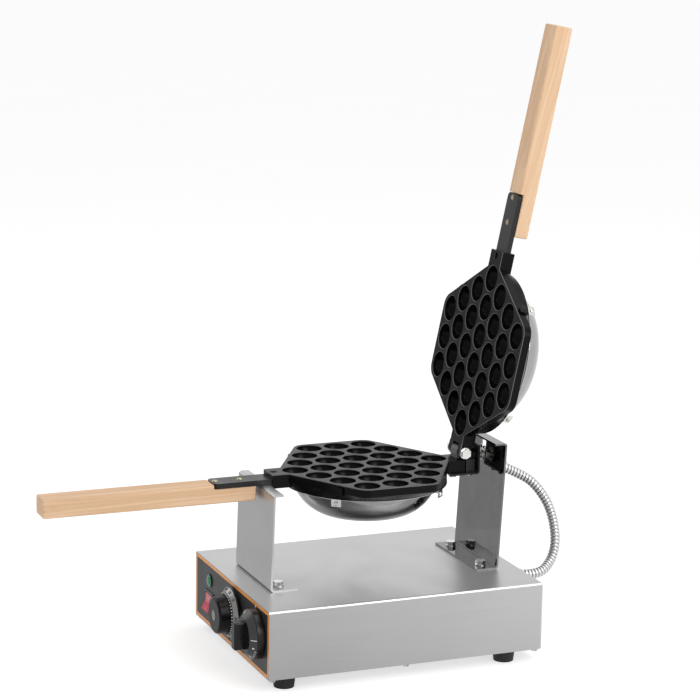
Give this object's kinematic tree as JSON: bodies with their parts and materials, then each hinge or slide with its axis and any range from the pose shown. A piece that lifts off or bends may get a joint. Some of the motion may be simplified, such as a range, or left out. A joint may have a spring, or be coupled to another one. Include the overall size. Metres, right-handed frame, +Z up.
{
  "type": "egg waffle pan",
  "caption": "Electric egg waffle pan: two hinged cast pans with round cavities and wooden handles on a stainless control box.",
  "frame": {"origin": "on the bench under the middle of the control box", "axes": "-Y faces the cook and the controls, +X is the cook's right, +Z up"},
  "size_m": [0.24, 0.5999, 0.6868],
  "materials": {
    "brushed_stainless": "fine brushed grain, satin",
    "polished_stainless": "bright polished sheet",
    "zinc_plated_steel": "bright zinc plate",
    "nonstick_casting": "black non-stick coating, satin",
    "black_steel": "black oxide, satin",
    "beech": "bare sanded beech",
    "brass": "turned brass",
    "rubber": "moulded black rubber",
    "dark_panel": "printed dark film, satin",
    "orange_trim": "printed orange film",
    "black_plastic": "moulded black plastic",
    "silver_dial": null,
    "green_lens": "clear green lens",
    "red_rocker": "translucent red plastic",
    "conduit_steel": "interlocked strip, bright",
    "heater_steel": "dull heat-tinted steel"
  },
  "bodies": {
    "root": {"box_cover": "brushed_stainless", "bottom_plate": "brushed_stainless", "bottom_screws": "zinc_plated_steel", "feet": "rubber", "foot_screws": "zinc_plated_steel", "foot_nuts": "zinc_plated_steel", "front_plate": "brushed_stainless", "panel_field": "dark_panel", "panel_trim": "orange_trim", "lamp_body": "black_plastic", "lamp_lens": "green_lens", "switch_frame": "black_plastic", "thermostat": "black_plastic", "timer": "black_plastic", "terminal_block": "black_plastic", "mains_gland": "brass", "gland_lock_nuts": "brass", "conduit_gland": "conduit_steel", "conduit": "conduit_steel", "conduit_fitting": "conduit_steel", "front_bracket": "brushed_stainless", "rear_bracket": "polished_stainless", "bracket_bolts": "zinc_plated_steel", "bracket_nuts": "zinc_plated_steel"},
    "pan_assembly": {"lower_pan": "nonstick_casting", "lower_dish": "polished_stainless", "lower_dish_screws": "zinc_plated_steel", "lower_heater": "heater_steel", "lower_heater_clamp": "heater_steel", "lower_clamp_screw": "zinc_plated_steel", "lower_handle_bar": "black_steel", "lower_handle": "beech", "lower_rivets": "brass", "lower_set_screw": "zinc_plated_steel", "swivel_bracket": "black_steel", "stop_block": "black_steel", "shelf_screws": "zinc_plated_steel", "swivel_shaft": "black_steel", "shaft_nuts": "zinc_plated_steel", "hinge_bolt": "zinc_plated_steel", "hinge_washers": "zinc_plated_steel", "hinge_nut": "zinc_plated_steel"},
    "upper_pan_half": {"upper_pan": "nonstick_casting", "upper_dish": "polished_stainless", "upper_dish_screws": "zinc_plated_steel", "upper_heater": "heater_steel", "upper_heater_clamp": "heater_steel", "upper_clamp_screw": "zinc_plated_steel", "upper_handle_bar": "black_steel", "upper_handle": "beech", "upper_rivets": "brass", "upper_set_screw": "zinc_plated_steel"},
    "switch_rocker": {"rocker": "red_rocker"},
    "temperature_knob": {"temperature_dial": "silver_dial", "temperature_cap": "black_plastic", "thermostat_shaft": "zinc_plated_steel"},
    "timer_knob": {"timer_dial": "black_plastic", "timer_grip": "black_plastic", "timer_shaft": "zinc_plated_steel"}
  },
  "joints": [
    {"name": "pan_lift", "type": "hinge", "parent": "root", "child": "pan_assembly", "pos_m": [0, 0.1398, 0.2077], "axis": [-1, 0, 0], "range_deg": [0, 5]},
    {"name": "pan_hinge", "type": "hinge", "parent": "pan_assembly", "child": "upper_pan_half", "pos_m": [0, 0.1095, 0.214], "axis": [1, 0, 0], "range_deg": [0, 101.6]},
    {"name": "switch_rock", "type": "hinge", "parent": "root", "child": "switch_rocker", "pos_m": [-0.072, -0.1585, 0.0415], "axis": [1, 0, 0], "range_deg": [0, 28]},
    {"name": "temperature_turn", "type": "hinge", "parent": "root", "child": "temperature_knob", "pos_m": [0.01, -0.165, 0.055], "axis": [0, 1, 0], "range_deg": [0, 270]},
    {"name": "timer_turn", "type": "hinge", "parent": "root", "child": "timer_knob", "pos_m": [0.0835, -0.165, 0.055], "axis": [0, 1, 0], "range_deg": [0, 300]}
  ]
}
